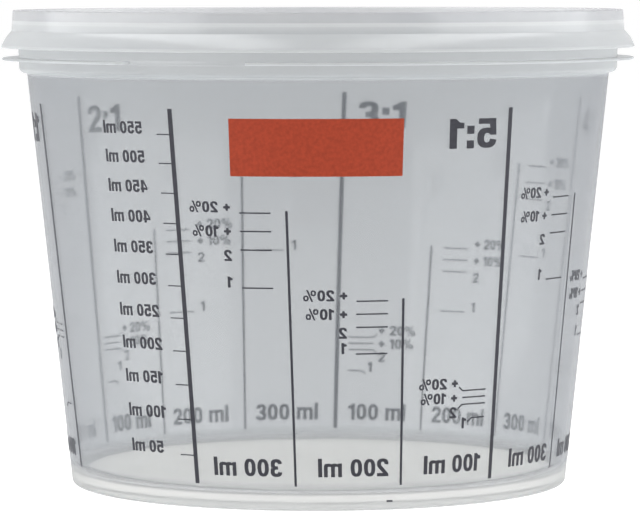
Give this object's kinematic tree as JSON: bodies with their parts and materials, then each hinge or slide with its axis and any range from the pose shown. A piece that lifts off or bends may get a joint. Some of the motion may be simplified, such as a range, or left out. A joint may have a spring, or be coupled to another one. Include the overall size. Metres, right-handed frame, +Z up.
{
  "type": "resin mixing cup",
  "caption": "Round tapered clear plastic mixing cup on a foot ring, with a guard flange below its rim and a press-on lid that lifts off.",
  "frame": {"origin": "centre of the circle that the foot ring stands on", "axes": "+Z up along the cup's axis; the finger notch in the guard flange faces the front, -Y, a little to the -X side"},
  "size_m": [0.1233, 0.1232, 0.0921],
  "materials": {
    "cup_plastic": "clear-milky polypropylene, satin gloss",
    "lid_plastic": "clear-milky polypropylene, satin gloss"
  },
  "bodies": {
    "cup": {"cup_body": "cup_plastic"},
    "lid": {"snap_lid": "lid_plastic"}
  },
  "joints": [
    {"name": "lid_lift", "type": "slide", "parent": "cup", "child": "lid", "axis": [0, 0, 1], "range_m": [0, 0.05]}
  ]
}
